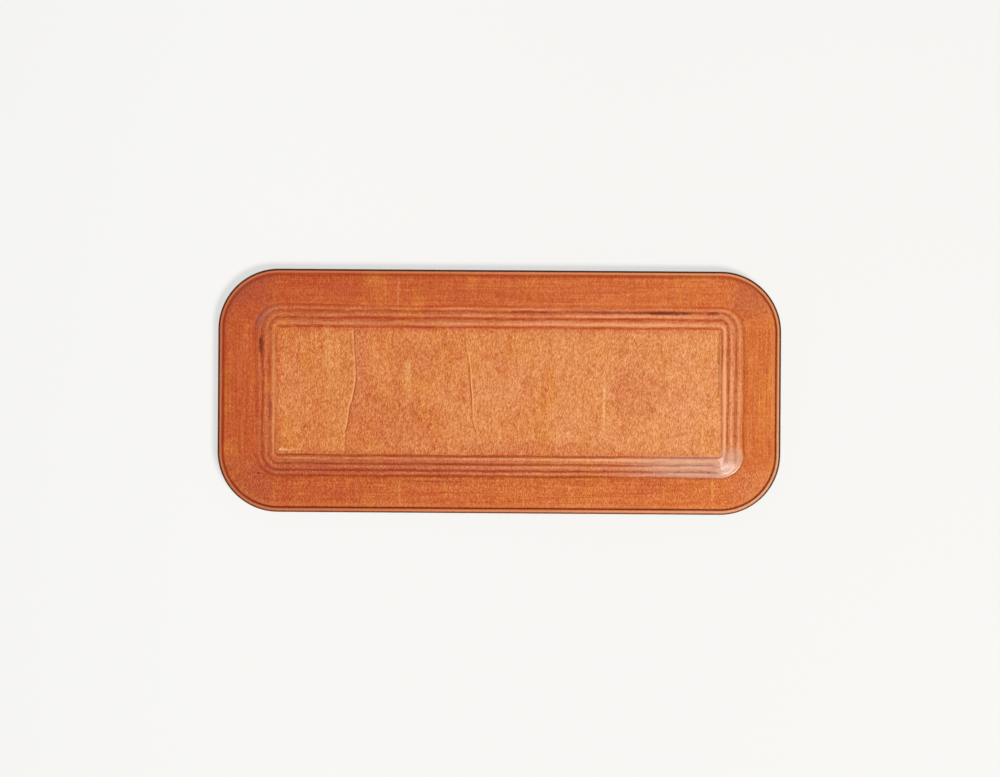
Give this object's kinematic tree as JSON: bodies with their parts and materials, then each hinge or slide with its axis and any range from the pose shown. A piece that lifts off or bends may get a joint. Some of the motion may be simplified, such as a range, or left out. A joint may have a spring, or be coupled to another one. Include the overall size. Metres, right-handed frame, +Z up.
{
  "type": "serving tray",
  "caption": "Shallow oblong serving tray with round corners: moulded tan leather over a stiff shell, a raised rim bead and a reeded step down to a flat well.",
  "frame": {"origin": "middle of the tray, on the surface that it stands on", "axes": "+X along the tray's length, +Y across its width, +Z up out of the well"},
  "size_m": [0.4, 0.173, 0.011],
  "materials": {
    "face_leather": "hand-dyed vegetable-tanned cowhide, satin",
    "core_board": "pressed fibreboard, raw",
    "rim_wire": "drawn wire",
    "back_leather": "vegetable-tanned lining leather, matt",
    "edge_finish": "burnished and stained near-black, satin",
    "base_suede": "suede, nap outward"
  },
  "bodies": {
    "root": {"face_leather": "face_leather", "core_shell": "core_board", "rim_wire": "rim_wire", "back_leather": "back_leather", "edge_band": "edge_finish", "base_pad": "base_suede"}
  },
  "joints": []
}
